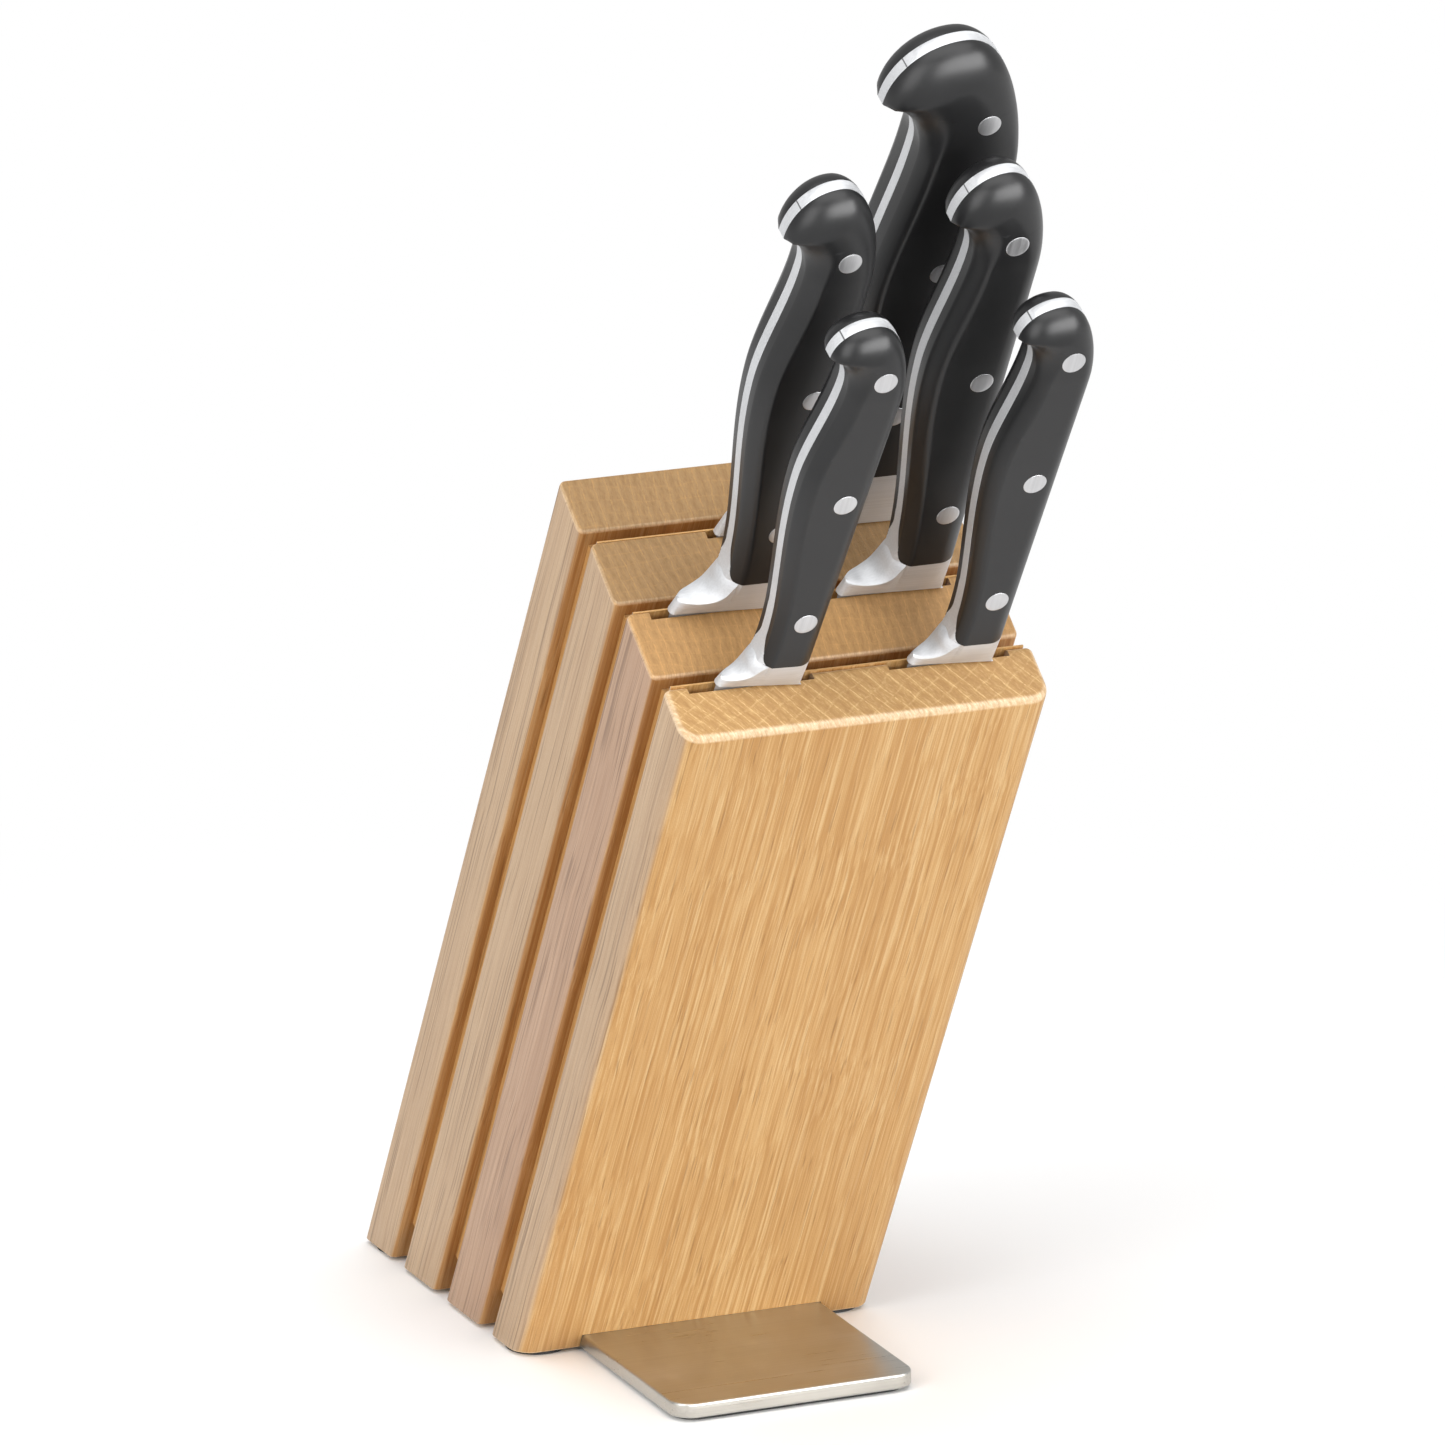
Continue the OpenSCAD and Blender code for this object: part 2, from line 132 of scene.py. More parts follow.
class Tree:
    """Short names for building a material's nodes."""

    def __init__(self, name):
        self.mat = bpy.data.materials.new(name)
        self.mat.use_nodes = True
        self.nodes = self.mat.node_tree.nodes
        self.links = self.mat.node_tree.links
        self.bsdf = self.nodes["Principled BSDF"]

    def add(self, kind, **settings):
        n = self.nodes.new(kind)
        for k, v in settings.items():
            setattr(n, k, v)
        return n

    def link(self, a, b):
        self.links.new(a, b)

    def coords(self, rotation=(0, 0, 0), scale=(1, 1, 1), location=(0, 0, 0), source=None):
        m = self.add("ShaderNodeMapping")
        m.inputs["Rotation"].default_value = rotation
        m.inputs["Scale"].default_value = scale
        m.inputs["Location"].default_value = location
        if source is None:
            source = self.add("ShaderNodeTexCoord").outputs["Object"]
        self.link(source, m.inputs["Vector"])
        return m.outputs["Vector"]

    def noise(self, vector, scale, detail=3.0, rough=0.5):
        n = self.add("ShaderNodeTexNoise")
        n.inputs["Scale"].default_value = scale
        n.inputs["Detail"].default_value = detail
        n.inputs["Roughness"].default_value = rough
        self.link(vector, n.inputs["Vector"])
        return n.outputs["Fac"]

    def math(self, op, a, b=None):
        n = self.add("ShaderNodeMath", operation=op)
        for i, v in enumerate((a, b)):
            if v is None:
                continue
            if isinstance(v, (int, float)):
                n.inputs[i].default_value = v
            else:
                self.link(v, n.inputs[i])
        return n.outputs[0]

    def remap(self, value, a, b, c=0.0, d=1.0, smooth=False):
        n = self.add("ShaderNodeMapRange", interpolation_type="SMOOTHSTEP" if smooth else "LINEAR")
        self.link(value, n.inputs["Value"])
        for k, v in zip(("From Min", "From Max", "To Min", "To Max"), (a, b, c, d)):
            n.inputs[k].default_value = v
        return n.outputs["Result"]

    def mix(self, fac, a, b, blend="MIX"):
        n = self.add("ShaderNodeMix", data_type="RGBA", blend_type=blend)
        for sock, v in ((n.inputs["Factor"], fac), (n.inputs["A"], a), (n.inputs["B"], b)):
            if isinstance(v, (int, float)):
                sock.default_value = v
            elif isinstance(v, tuple):
                sock.default_value = (*v, 1.0)
            else:
                self.link(v, sock)
        return n.outputs["Result"]

    def bump(self, height, strength, distance):
        n = self.add("ShaderNodeBump")
        n.inputs["Strength"].default_value = strength
        n.inputs["Distance"].default_value = distance
        self.link(height, n.inputs["Height"])
        self.link(n.outputs["Normal"], self.bsdf.inputs["Normal"])


def oak(name, seed, face=(0.63, 0.375, 0.15), amber=(0.46, 0.23, 0.068), cream=(0.75, 0.52, 0.265),
        side=(0.49, 0.35, 0.225), side_dark=(0.31, 0.195, 0.12), end=(0.5, 0.3, 0.125),
        end_dark=(0.33, 0.175, 0.06), line=(0.62, 0.34, 0.12), turn=3.0, pitch=2.5, wave=0.5, edge=0.35,
        shine=0.7, painted_gap_shade=0.0):
    """Solid oak in the board's own axes: face grain, edge grain made paler and greyer by a painted sheen, and
    ringed end grain, by which way it faces. turn and pitch (degrees, mm) place the end-grain lines, wave
    bends them and shine brightens them; edge is how pale the corners are from wear and a painted highlight,
    and the last argument is how far painted shade darkens the faces inside the gaps."""
    t = Tree(name)
    where = t.coords(rotation=(-LEAN, 0, 0))
    # the grain wanders slowly across the board
    drift = t.noise(t.coords(scale=(25, 25, 16), location=(seed, seed * 2, 0), source=where), 1.0, 2.0, 0.5)
    sway = t.add("ShaderNodeCombineXYZ")
    for axis, reach in (("X", 0.0022), ("Y", 0.004)):
        t.link(t.math("MULTIPLY", t.math("SUBTRACT", drift, 0.5), reach), sway.inputs[axis])
    moved = t.add("ShaderNodeVectorMath", operation="ADD")
    t.link(where, moved.inputs[0])
    t.link(sway.outputs[0], moved.inputs[1])
    grain = moved.outputs[0]

    def streaks(sx, sz, detail, rough, off):
        where_off = (seed + off, seed - off, off)
        return t.noise(t.coords(scale=(sx, sx, sz), location=where_off, source=grain), 1.0, detail, rough)

    def times(a, b):
        return t.math("MULTIPLY", a, b)

    def stripe(u, wide, narrow):
        """Distance from the nearest whole line of u, and a soft line of the given half widths there."""
        dist = t.math("ABSOLUTE", t.math("SUBTRACT", t.math("FRACT", u), 0.5))
        return dist, t.remap(dist, wide, narrow, smooth=True)

    s1 = streaks(1150, 9, 3.0, 0.66, 0)
    s2 = streaks(3000, 30, 2.0, 0.6, 5)
    s3 = streaks(75, 5, 2.0, 0.5, 9)
    pores = streaks(2300, 70, 1.0, 0.5, 13)
    lines = streaks(2000, 14, 1.0, 0.5, 17)
    speck = t.noise(where, 2600, 2.0, 0.6)

    # which way the wood faces, in the board's axes
    facing = t.coords(rotation=(-LEAN, 0, 0), source=t.add("ShaderNodeTexCoord").outputs["Normal"])
    n = t.add("ShaderNodeSeparateXYZ")
    t.link(facing, n.inputs[0])
    nx, nz = t.math("ABSOLUTE", n.outputs["X"]), t.math("ABSOLUTE", n.outputs["Z"])
    is_side = t.remap(nx, 0.62, 0.86, smooth=True)
    is_end = t.remap(nz, 0.45, 0.75, smooth=True)
    is_edge = times(t.remap(nz, 0.12, 0.4, smooth=True), t.remap(nz, 0.97, 0.8, smooth=True))

    # face grain, then the edge grain of the sides, made paler and greyer by a painted sheen from light
    # grazing them
    broad = t.mix(t.remap(s3, 0.35, 0.65, 0.0, 0.35), face, amber)
    c = t.mix(t.remap(s1, 0.49, 0.62, 0.0, 0.72, smooth=True), broad, amber)
    c = t.mix(t.remap(s1, 0.47, 0.35, 0.0, 0.6, smooth=True), c, cream)
    c = t.mix(t.remap(s2, 0.52, 0.66, 0.0, 0.5), c, amber)
    c = t.mix(t.remap(s2, 0.44, 0.32, 0.0, 0.4), c, cream)
    c = t.mix(t.remap(pores, 0.64, 0.74, 0.0, 0.45), c, tuple(0.5 * v for v in amber))
    e = t.mix(t.remap(s3, 0.35, 0.7, 0.0, 0.3), side, side_dark)
    e = t.mix(t.remap(s1, 0.5, 0.68, 0.0, 0.5, smooth=True), e, side_dark)
    e = t.mix(t.remap(s1, 0.45, 0.33, 0.0, 0.4, smooth=True), e, tuple(min(1.0, 1.2 * v) for v in side))
    e = t.mix(t.remap(s2, 0.55, 0.7, 0.0, 0.35), e, side_dark)
    e = t.mix(t.remap(lines, 0.58, 0.68, 0.0, 0.6), e, tuple(0.5 * v for v in side_dark))
    # painted shade: the faces turned to the front, which sit inside the open gaps, are darkened and reddened
    gap_shade_mask = times(t.remap(times(n.outputs["Y"], -1.0), 0.45, 0.85, smooth=True), painted_gap_shade)
    c = t.mix(gap_shade_mask, c, (0.6, 0.47, 0.34), "MULTIPLY")
    wood = t.mix(is_side, c, e)

    # end grain: fine bright lines a few mm apart over a curly ground
    flat = t.coords(rotation=(0, 0, math.radians(turn)), source=where)
    curl = t.noise(t.coords(scale=(150, 150, 150), location=(seed, 3, 1), source=where), 1.0, 3.0, 0.55)
    sep = t.add("ShaderNodeSeparateXYZ")
    t.link(flat, sep.inputs[0])
    slow = t.noise(t.coords(scale=(40, 14, 40), location=(seed, 8, 1), source=flat), 1.0, 2.0, 0.5)
    bend = t.math("ADD", times(curl, 1.5 * wave), times(slow, 2.2))
    u = t.math("ADD", times(sep.outputs["X"], 1000 / pitch), bend)
    dash = t.noise(t.coords(scale=(900, 900, 300), location=(seed, 1, 5), source=where), 1.0, 3.0, 0.7)
    dist, ring = stripe(u, 0.075, 0.018)
    bright = times(ring, t.remap(dash, 0.34, 0.6))
    band = t.remap(dist, 0.18, 0.45)
    mottled = t.noise(t.coords(scale=(1900, 480, 400), location=(seed, 1, 9), source=flat), 1.0, 4.0, 0.7)
    g = t.mix(times(band, 0.35), end, end_dark)
    g = t.mix(t.remap(mottled, 0.5, 0.7, 0.0, 0.7), g, end_dark)
    g = t.mix(t.remap(mottled, 0.48, 0.32, 0.0, 0.4), g, line)
    g = t.mix(times(bright, shine), g, line)
    # fainter lines across them cut the end grain into bricks
    bend = t.math("ADD", times(curl, 0.7), times(slow, 1.7))
    v = t.math("ADD", times(sep.outputs["Y"], 1000 / (1.25 * pitch)), bend)
    rung = times(stripe(v, 0.09, 0.02)[1], t.remap(dash, 0.38, 0.62))
    g = t.mix(times(rung, 0.45 * shine), g, line)
    wood = t.mix(is_end, wood, g)
    # corners made pale: partly rubbed wear, partly a painted highlight where light catches their rounding
    rubbed_and_highlit = times(times(is_edge, edge), t.remap(mottled, 0.3, 0.6, 1.0, 0.35))
    wood = t.mix(rubbed_and_highlit, wood, (0.9, 0.7, 0.47))
    wood = t.mix(t.remap(speck, 0.35, 0.7, 0.0, 0.16), wood, tuple(0.7 * v for v in amber))
    t.link(wood, t.bsdf.inputs["Base Color"])
    t.link(t.remap(s2, 0.3, 0.7, 0.44, 0.6), t.bsdf.inputs["Roughness"])
    t.bsdf.inputs["Specular IOR Level"].default_value = 0.3
    relief = t.math("SUBTRACT", times(s2, 0.5), t.remap(pores, 0.62, 0.72, 0.0, 0.7))
    t.bump(relief, 0.3, 0.00018)
    return t.mat


def steel(name, color, rough, along="x", grain=2400, wear=0.05, sheen=0.0):
    """Brushed or satin steel with fine lines along one direction of the leaning frame. sheen is the part of
    it that scatters light like a frosted surface."""
    t = Tree(name)
    t.bsdf.inputs["Metallic"].default_value = 1.0 - sheen
    fine = {"x": (14, grain, grain), "y": (grain, 14, grain), "z": (grain, grain, 14)}[along]
    where = t.coords(rotation=(-LEAN, 0, 0))
    lines = t.noise(t.coords(scale=fine, source=where), 1.0, 2.0, 0.6)
    cloud = t.noise(where, 70, 3.0, 0.6)
    tone = t.math("ADD", t.math("MULTIPLY", lines, 0.6), t.math("MULTIPLY", cloud, 0.4))
    dull, clear = tuple(0.9 * c for c in color), tuple(min(1, 1.06 * c) for c in color)
    t.link(t.mix(t.remap(tone, 0.35, 0.65), dull, clear), t.bsdf.inputs["Base Color"])
    streaky = t.remap(lines, 0.25, 0.75, rough - wear, rough + wear)
    t.link(t.math("ADD", streaky, t.remap(cloud, 0.3, 0.7, -0.03, 0.03)), t.bsdf.inputs["Roughness"])
    t.bump(lines, 0.03, 0.00002)
    return t.mat


def plastic(name, color=(0.008, 0.008, 0.0085), rough=0.35):
    """Satin black moulded scales with a very fine texture."""
    t = Tree(name)
    fine = t.noise(t.coords(), 2600, 2.0, 0.6)
    broad = t.noise(t.coords(), 45, 3.0, 0.6)
    t.link(t.mix(t.remap(broad, 0.3, 0.7), color, tuple(1.5 * c for c in color)), t.bsdf.inputs["Base Color"])
    patchy = t.remap(broad, 0.3, 0.7, rough - 0.03, rough + 0.04)
    t.link(t.math("ADD", patchy, t.remap(fine, 0.3, 0.7, -0.03, 0.03)), t.bsdf.inputs["Roughness"])
    t.bsdf.inputs["Specular IOR Level"].default_value = 0.42
    t.bump(fine, 0.08, 0.00003)
    return t.mat


def rubber(name):
    """Matt black rubber with a grainy surface."""
    t = Tree(name)
    fine = t.noise(t.coords(), 900, 3.0, 0.6)
    t.link(t.mix(fine, (0.012, 0.012, 0.012), (0.03, 0.03, 0.03)), t.bsdf.inputs["Base Color"])
    t.link(t.remap(fine, 0.3, 0.7, 0.6, 0.85), t.bsdf.inputs["Roughness"])
    t.bump(fine, 0.3, 0.0001)
    return t.mat


MATERIALS = {
    "front_board": oak("oak_front", 3.1, face=(0.585, 0.348, 0.138), amber=(0.43, 0.215, 0.064),
                       cream=(0.7, 0.485, 0.245), end=(0.5, 0.29, 0.108), end_dark=(0.375, 0.195, 0.062),
                       line=(0.78, 0.54, 0.26), turn=-33, pitch=2.9, wave=0.3, edge=0.9, shine=0.8),
    "second_board": oak("oak_second", 11.7, side=(0.45, 0.3, 0.205), side_dark=(0.29, 0.17, 0.11),
                        end=(0.46, 0.26, 0.098), painted_gap_shade=0.9),
    "third_board": oak("oak_third", 23.2, end=(0.33, 0.2, 0.085), end_dark=(0.24, 0.13, 0.045),
                       line=(0.47, 0.26, 0.09), turn=-6, painted_gap_shade=0.9),
    "rear_board": oak("oak_rear", 37.9, end=(0.36, 0.22, 0.095), end_dark=(0.26, 0.14, 0.05),
                      line=(0.5, 0.28, 0.1), turn=4, pitch=2.8, painted_gap_shade=0.8),
    "veneer": oak("oak_lining", 51.3, face=(0.62, 0.36, 0.13), end=(0.6, 0.36, 0.14),
                  end_dark=(0.45, 0.24, 0.08)),
    "spacer": oak("oak_spacer", 61.8, face=(0.55, 0.3, 0.1), side=(0.5, 0.27, 0.09),
                  side_dark=(0.36, 0.17, 0.05)),
    "forging": steel("satin_forging", (0.6, 0.608, 0.622), 0.54, "x", sheen=0.42),
    # dark steel for the painted shadow in the seam across each tang's crown
    "seam": steel("seam_shadow", (0.16, 0.16, 0.165), 0.5, "x", sheen=0.3),
    "rivet": steel("satin_rivet", (0.57, 0.57, 0.58), 0.36, "z", 1600, 0.07, sheen=0.15),
    "plate": steel("brushed_plate", (0.52, 0.51, 0.475), 0.34, "x", 2200, 0.08),
    "screw": steel("screw_steel", (0.55, 0.55, 0.56), 0.35, "x", 900),
    "black": plastic("satin_black"),
    "rubber": rubber("black_rubber"),
    "beech": oak("beech_dowel", 71.0, face=(0.7, 0.5, 0.3), amber=(0.6, 0.4, 0.22), cream=(0.78, 0.6, 0.4)),
}


# ---------------------------------------------------------------- mesh helpers

def piece(name, parts, material, body, slot, *nodes, sharp=38):
    """Makes one object from (points, faces) parts in metres and hangs it on its body."""
    bm = bmesh.new()
    for points, faces in parts:
        vs = [bm.verts.new(p) for p in points]
        for f in faces:
            ring = []
            for i in f:
                if not ring or vs[i] is not ring[-1]:
                    ring.append(vs[i])
            try:
                bm.faces.new(ring)
            except ValueError:
                pass
    bmesh.ops.remove_doubles(bm, verts=bm.verts, dist=1e-7)
    bmesh.ops.dissolve_degenerate(bm, edges=bm.edges, dist=1e-8)
    bmesh.ops.recalc_face_normals(bm, faces=bm.faces)
    me = bpy.data.meshes.new(name)
    bm.to_mesh(me)
    bm.free()
    me.polygons.foreach_set("use_smooth", [True] * len(me.polygons))
    me.set_sharp_from_angle(angle=math.radians(sharp))
    ob = bpy.data.objects.new(name, me)
    bpy.context.scene.collection.objects.link(ob)
    ob.data.materials.append(MATERIALS[material])
    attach(ob, body)
    if nodes:
        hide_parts(*nodes)
    return ob


def grid_faces(rows, cols, base=0, close=False):
    """Quads over a grid of points, row by row, closed round each row if asked."""
    out = []
    for i in range(rows - 1):
        for j in range(cols if close else cols - 1):
            a, b = i * cols + j, i * cols + (j + 1) % cols
            out.append((base + a, base + b, base + b + cols, base + a + cols))
    return out


def lerp(a, b, t):
    return a + (b - a) * t


def smooth(t):
    t = min(1.0, max(0.0, t))
    return t * t * (3 - 2 * t)


# ---------------------------------------------------------------- handles

def left_x(k, z):
    """The handle's belly side at height z: foot, belly, neck, hook and crown."""
    if z < k["belly_z"]:
        foot = k["flare"] * max(0.0, (FLARE_Z - z) / (FLARE_Z - k["joint"])) ** 2
        return -foot - lerp(k["low"], k["belly"], smooth((z - k["joint"]) / (k["belly_z"] - k["joint"])))
    if z < k["neck_z"]:
        return -lerp(k["belly"], k["neck"], smooth((z - k["belly_z"]) / (k["neck_z"] - k["belly_z"])))
    if z < k["tip_z"]:
        s = (z - k["neck_z"]) / (k["tip_z"] - k["neck_z"])
        return -k["tip"] + (k["tip"] - k["neck"]) * math.sqrt(max(0.0, 1 - s * s))
    s = min(1.0, (z - k["tip_z"]) / (k["top"] - k["tip_z"]))
    return -k["crown"] - (k["tip"] - k["crown"]) * math.sqrt(1 - s * s)


def right_x(k, z):
    """The handle's spine side at height z."""
    if z < k["spine_z"]:
        return 0.0
    s = min(1.0, (z - k["spine_z"]) / (k["top"] - k["spine_z"]))
    return -k["crown"] + k["crown"] * math.sqrt(1 - s * s)


def levels(k):
    """Heights of the handle's mesh rows, closer together round the hook and the crown."""
    low = np.linspace(k["joint"], k["neck_z"], 62)
    hook = k["neck_z"] + (k["tip_z"] - k["neck_z"]) * np.sin(np.linspace(0, math.pi / 2, 15))[1:]
    top = k["tip_z"] + (k["top"] - k["tip_z"]) * np.sin(np.linspace(0, math.pi / 2, 26))[1:]
    return np.concatenate([low, hook, top])


def half_thickness(k, z):
    """Half the handle's full thickness at height z."""
    return lerp(k["m0"], k["m1"], min(1.0, max(0.0, (z - k["joint"]) / (k["neck_z"] - k["joint"]))))


def nearest(points, line, soft):
    """Distance from each point to a polyline, and the polyline's edge values where it is nearest."""
    a, b = line[:-1], line[1:]
    d = b - a
    n = np.maximum((d * d).sum(1), 1e-12)
    out = np.full(len(points), 1e9)
    near = np.zeros((len(points), 3))
    for i in range(len(a)):
        t = np.clip(((points - a[i]) @ d[i]) / n[i], 0, 1)
        q = a[i] + t[:, None] * d[i]
        dist = np.hypot(*(points - q).T)
        closer = dist < out
        out[closer] = dist[closer]
        near[closer] = (soft[i] + t[:, None] * (soft[i + 1] - soft[i]))[closer]
    return out, near


def edge_lines(k):
    """The handle's belly side with its hook, and its spine side, each with how its edge is worked: over how
    many millimetres, from which part of the full thickness, and how round."""
    zs = np.concatenate([[-10], levels(k)])
    left = np.array([[left_x(k, max(z, k["joint"])), z] for z in zs])
    right = np.array([[right_x(k, z), z] for z in zs])
    hook = np.array([smooth((z - k["neck_z"] + 1) / (k["tip_z"] - k["neck_z"] + 2.5)) for z in zs])
    over = np.array([smooth((z - k["spine_z"] - 3) / (k["top"] - k["spine_z"] - 3)) for z in zs])
    (edge, wall), (back, step) = k["edge"], k["back"]
    soft_l = np.stack([lerp(edge, k["dome"], hook), lerp(wall, 0.0, hook), lerp(0.25, 1.0, hook)], 1)
    soft_r = np.stack([lerp(back, k["dome"], over), lerp(step, 0.0, over), 0.85 + 0.15 * over], 1)
    return left, right, soft_l, soft_r


def round_off(d, near):
    """Part of the full thickness at distance d inside an edge: between a straight chamfer and a rounding."""
    u = np.clip(d / near[..., 0], 0, 1)
    arc = np.minimum(1.0, 1.02 * np.sqrt(1 - (1 - u) ** 2))
    return near[..., 1] + (1 - near[..., 1]) * (u + near[..., 2] * (arc - u))


def heights(k, pts):
    """How far a scale stands out from the knife's middle plane at each (x, z)."""
    left, right, soft_l, soft_r = edge_lines(k)
    dl, nl = nearest(pts, left, soft_l)
    dr, nr = nearest(pts, right, soft_r)
    m = np.array([half_thickness(k, z) for z in pts[:, 1]])
    return TANG + (m - TANG) * np.minimum(round_off(dl, nl), round_off(dr, nr))


def inset(k, z, y):
    """How far inside the belly side a scale's wall stands at y from the middle plane, near its foot."""
    over, wall = k["edge"]
    f = (y - TANG) / (half_thickness(k, z) - TANG)
    return over * max(0.0, f - wall) / (1 - wall)


def wing(k, z):
    """How far across the belly side the guard reaches at height z, beside the foot of each scale."""
    corner = TANG + 0.86 * (k["m0"] - TANG)
    rise, curve = k["wing"]
    return TANG + (corner - TANG) * max(0.0, 1 - (z - k["joint"]) / rise) ** curve


def scale_parts(k, put, side):
    """One black scale: its worked outer face, its walls and its flat back against the tang."""
    zs = levels(k)
    cols = 31
    cs = 0.5 - 0.5 * np.cos(np.linspace(0, math.pi, cols))
    flat = np.array([(lerp(left_x(k, z), right_x(k, z), c), z) for z in zs for c in cs])
    h = heights(k, flat)
    front = [put((x, side * y, z)) for (x, z), y in zip(flat, h)]
    back = [put((x, side * (TANG - 0.02), z)) for x, z in flat]
    for i, z in enumerate(zs):
        if z < WALL_Z:
            x = flat[i * cols][0]
            back[i * cols] = put((x, side * min(h[i * cols], wing(k, z)) - side * 0.03, z))
    rows = len(zs)
    n = rows * cols
    faces = grid_faces(rows, cols) + grid_faces(rows, cols, n)
    for e in (0, (rows - 1) * cols):
        faces += [(e + j, e + j + 1, n + e + j + 1, n + e + j) for j in range(cols - 1)]
    for i in range(rows - 1):
        for e in (0, cols - 1):
            a, b = i * cols + e, (i + 1) * cols + e
            faces.append((a, b, n + b, n + a))
    return [(front + back, faces)]


def tang_parts(k, put):
    """The full tang, whose edge shows as a steel strip right round the handle."""
    left, right = edge_lines(k)[:2]
    out = 0.03
    ring = [(x - out, z) for x, z in left[1:]] + [(x + out, z) for x, z in right[::-1][1:-1]]
    ring = [(x, z + (out if z > k["tip_z"] else 0)) for x, z in ring]
    b = 0.1
    n = len(ring)
    cx = -k["low"] / 2
    points, faces = [], []
    for y, inset in ((-TANG, b), (-TANG + b, 0), (TANG - b, 0), (TANG, b)):
        for x, z in ring:
            s = 1 if x > cx else -1
            points.append(put((x - s * inset, y, z)))
    for r in range(3):
        for i in range(n):
            j = (i + 1) % n
            faces.append((r * n + i, r * n + j, (r + 1) * n + j, (r + 1) * n + i))
    faces.append(tuple(range(n)))
    faces.append(tuple(range(3 * n, 4 * n)))
    return points, faces


def through(points, n):
    """A smooth curve through the given points, n steps per span."""
    p = np.array(points, float)
    p = np.vstack([2 * p[0] - p[1], p, 2 * p[-1] - p[-2]])
    out = []
    for i in range(1, len(p) - 2):
        for s in np.arange(n) / n:
            out.append(0.5 * (2 * p[i] + (p[i + 1] - p[i - 1]) * s
                              + (2 * p[i - 1] - 5 * p[i] + 4 * p[i + 1] - p[i + 2]) * s ** 2
                              + (3 * p[i] - p[i - 1] - 3 * p[i + 1] + p[i + 2]) * s ** 3))
    out.append(p[-2])
    return np.array(out)


def guard_parts(k, put):
    """The bolster and finger guard: a leaf swept from the belly side to the nose, and flat side faces."""
    wb, w0, zj = k["bolster"], k["low"], k["joint"]
    corner = wing(k, zj)
    cx = left_x(k, zj) + inset(k, zj, corner)
    cols = 17
    ts = np.linspace(-1, 1, cols)
    pts = []
    # beside the scales the leaf lies on their walls
    ups = np.linspace(WING_Z, zj, 26)
    for z in ups:
        h = wing(k, z)
        e = 0.6 * max(0.0, 1 - (z - zj) / 6) ** 2
        for t in ts:
            lean_out = e * (1 - abs(t) ** 2.4)
            x = left_x(k, z) + inset(k, z, abs(t) * h) - 0.05 - 0.9 * lean_out
            pts.append(put((x, t * h, z + 0.4 * lean_out)))
    # below them it sweeps out to the nose between two crisp edges
    crease = through([(cx, zj, corner)] + [(-w0 - u, z, h) for z, u, h in k["crease"]], 5)
    step = np.gradient(crease[:, :2], axis=0)
    out = np.stack([step[:, 1], -step[:, 0]], 1)
    out /= np.hypot(out[:, 0], out[:, 1])[:, None]
    bulge = cx - left_x(k, zj) + 0.5
    for i, (x, z, h) in enumerate(crease[1:], 1):
        s = i / (len(crease) - 1)
        b = lerp(bulge, 0.35, smooth(min(1, 1.5 * s)))
        for t in ts:
            q = np.array([x, z]) + b * (1 - abs(t) ** 2.4) * out[i]
            pts.append(put((q[0], t * h, q[1])))
    parts = [(pts, grid_faces(len(ups) + len(crease) - 1, cols))]
    # the two side faces, from the crease and the foot of the scales down to the underside
    rows = 10
    spine = np.linspace(cx, 0, 22)[1:]
    hs = heights(k, np.array([(x, zj) for x in spine]))
    end = crease[-1]
    tip = end[:2] + 0.35 * out[-1]

    def foot(x):
        return lerp(2.4, 1.3, min(1.0, -x / wb))

    for side in (-1, 1):
        nose = (lerp(tip[0], end[0], 0.45), lerp(tip[1], end[1], 0.45))
        line = [((tip[0], tip[1]), 0.0, (-wb, 0.0)), (nose, 0.7 * end[2], (-wb + 0.06, 0.55))]
        for i in range(len(crease) - 1, -1, -1):
            x, z, h = crease[i]
            s = smooth((-x - 0.62 * wb) / (0.33 * wb))
            xb = x - (wb + end[0] - 0.2) * s
            line.append(((x, z), h, (xb, min(h + 0.35, foot(xb)))))
        line += [((x, zj), h, (x, min(h, foot(x)))) for x, h in zip(spine, hs)]
        pts = []
        for (x, z), h, (xb, hb) in line:
            for r in range(rows):
                v = r / (rows - 1)
                pts.append(put((lerp(x, xb, v), side * lerp(h, hb, v ** 1.15), z * (1 - v))))
        parts.append((pts, grid_faces(len(line), rows)))
    # the spine side, the underside and the top below the scales
    pts = []
    for r in range(rows):
        v = r / (rows - 1)
        y = lerp(hs[-1], min(hs[-1], foot(0)), v ** 1.15)
        for s in (-1, 1):
            pts.append(put((0, s * y, zj * (1 - v))))
    parts.append((pts, grid_faces(rows, 2)))
    under = [(-wb + 0.03, 0.2)] + [(x, foot(x)) for x in np.linspace(-wb + 0.7, 0, 20)]
    pts = [put((x, s * h, 0)) for x, h in under for s in (-1, 1)]
    parts.append((pts, grid_faces(len(under), 2)))
    top = [(cx, corner)] + list(zip(spine, hs))
    pts = [put((x, s * (h - 0.01), zj - 0.01)) for x, h in top for s in (-1, 1)]
    parts.append((pts, grid_faces(len(top), 2)))
    return parts


